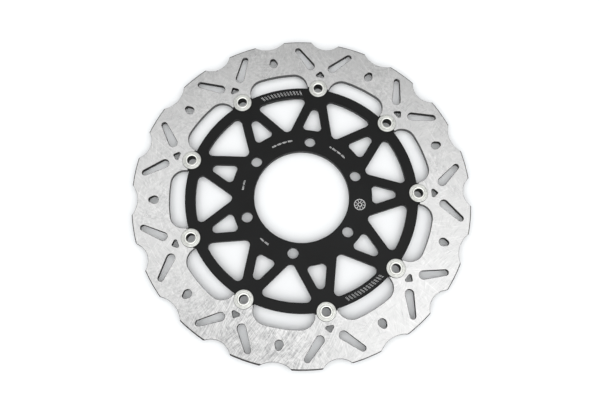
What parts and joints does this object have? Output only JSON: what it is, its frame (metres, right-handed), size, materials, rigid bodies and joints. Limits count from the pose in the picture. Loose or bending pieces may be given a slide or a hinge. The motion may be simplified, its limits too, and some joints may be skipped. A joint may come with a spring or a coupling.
{
  "type": "motorcycle brake disc",
  "caption": "Floating motorcycle front brake disc: wave-cut slotted steel friction ring hung by bobbins on a dark spoked carrier that bolts to the wheel hub.",
  "frame": {"origin": "centre of the hub bore on the carrier's hub face, which lies against the wheel hub", "axes": "+Z along the disc axis out of the front face; +Y through bobbin 1 and one bolt hole"},
  "size_m": [0.32, 0.3187, 0.0111],
  "materials": {
    "ring_steel": "ground stainless steel with fine random scratches",
    "carrier_alloy": "matte black anodised aluminium",
    "bobbin_steel": "turned stainless steel, satin",
    "washer_steel": "plain zinc-plated steel",
    "spring_steel": "oiled spring steel"
  },
  "bodies": {
    "carrier": {"carrier": "carrier_alloy"},
    "rotor": {"friction_ring": "ring_steel", "flat_washer_1": "washer_steel", "flat_washer_2": "washer_steel", "flat_washer_3": "washer_steel", "flat_washer_4": "washer_steel", "flat_washer_5": "washer_steel", "flat_washer_6": "washer_steel", "flat_washer_7": "washer_steel", "flat_washer_8": "washer_steel", "flat_washer_9": "washer_steel"},
    "bobbin_1": {"bobbin_1": "bobbin_steel", "wave_washer_1": "spring_steel", "circlip_1": "spring_steel"},
    "bobbin_2": {"bobbin_2": "bobbin_steel", "wave_washer_2": "spring_steel", "circlip_2": "spring_steel"},
    "bobbin_3": {"bobbin_3": "bobbin_steel", "wave_washer_3": "spring_steel", "circlip_3": "spring_steel"},
    "bobbin_4": {"bobbin_4": "bobbin_steel", "wave_washer_4": "spring_steel", "circlip_4": "spring_steel"},
    "bobbin_5": {"bobbin_5": "bobbin_steel", "wave_washer_5": "spring_steel", "circlip_5": "spring_steel"},
    "bobbin_6": {"bobbin_6": "bobbin_steel", "wave_washer_6": "spring_steel", "circlip_6": "spring_steel"},
    "bobbin_7": {"bobbin_7": "bobbin_steel", "wave_washer_7": "spring_steel", "circlip_7": "spring_steel"},
    "bobbin_8": {"bobbin_8": "bobbin_steel", "wave_washer_8": "spring_steel", "circlip_8": "spring_steel"},
    "bobbin_9": {"bobbin_9": "bobbin_steel", "wave_washer_9": "spring_steel", "circlip_9": "spring_steel"}
  },
  "joints": [
    {"name": "rotor_float", "type": "slide", "parent": "carrier", "child": "rotor", "axis": [0, 0, 1], "range_m": [-0.0004, 0], "stiffness_N_per_m": 180000, "springref_m": 0.0003, "deforming": ["wave_washer_1", "wave_washer_2", "wave_washer_3", "wave_washer_4", "wave_washer_5", "wave_washer_6", "wave_washer_7", "wave_washer_8", "wave_washer_9"]},
    {"name": "bobbin_spin_1", "type": "hinge", "parent": "carrier", "child": "bobbin_1", "pos_m": [0, 0.1105, 0.0035], "axis": [0, 0, 1], "continuous": true},
    {"name": "bobbin_spin_2", "type": "hinge", "parent": "carrier", "child": "bobbin_2", "pos_m": [-0.07103, 0.08465, 0.0035], "axis": [0, 0, 1], "continuous": true},
    {"name": "bobbin_spin_3", "type": "hinge", "parent": "carrier", "child": "bobbin_3", "pos_m": [-0.10882, 0.01919, 0.0035], "axis": [0, 0, 1], "continuous": true},
    {"name": "bobbin_spin_4", "type": "hinge", "parent": "carrier", "child": "bobbin_4", "pos_m": [-0.0957, -0.05525, 0.0035], "axis": [0, 0, 1], "continuous": true},
    {"name": "bobbin_spin_5", "type": "hinge", "parent": "carrier", "child": "bobbin_5", "pos_m": [-0.03779, -0.10384, 0.0035], "axis": [0, 0, 1], "continuous": true},
    {"name": "bobbin_spin_6", "type": "hinge", "parent": "carrier", "child": "bobbin_6", "pos_m": [0.03779, -0.10384, 0.0035], "axis": [0, 0, 1], "continuous": true},
    {"name": "bobbin_spin_7", "type": "hinge", "parent": "carrier", "child": "bobbin_7", "pos_m": [0.0957, -0.05525, 0.0035], "axis": [0, 0, 1], "continuous": true},
    {"name": "bobbin_spin_8", "type": "hinge", "parent": "carrier", "child": "bobbin_8", "pos_m": [0.10882, 0.01919, 0.0035], "axis": [0, 0, 1], "continuous": true},
    {"name": "bobbin_spin_9", "type": "hinge", "parent": "carrier", "child": "bobbin_9", "pos_m": [0.07103, 0.08465, 0.0035], "axis": [0, 0, 1], "continuous": true}
  ]
}
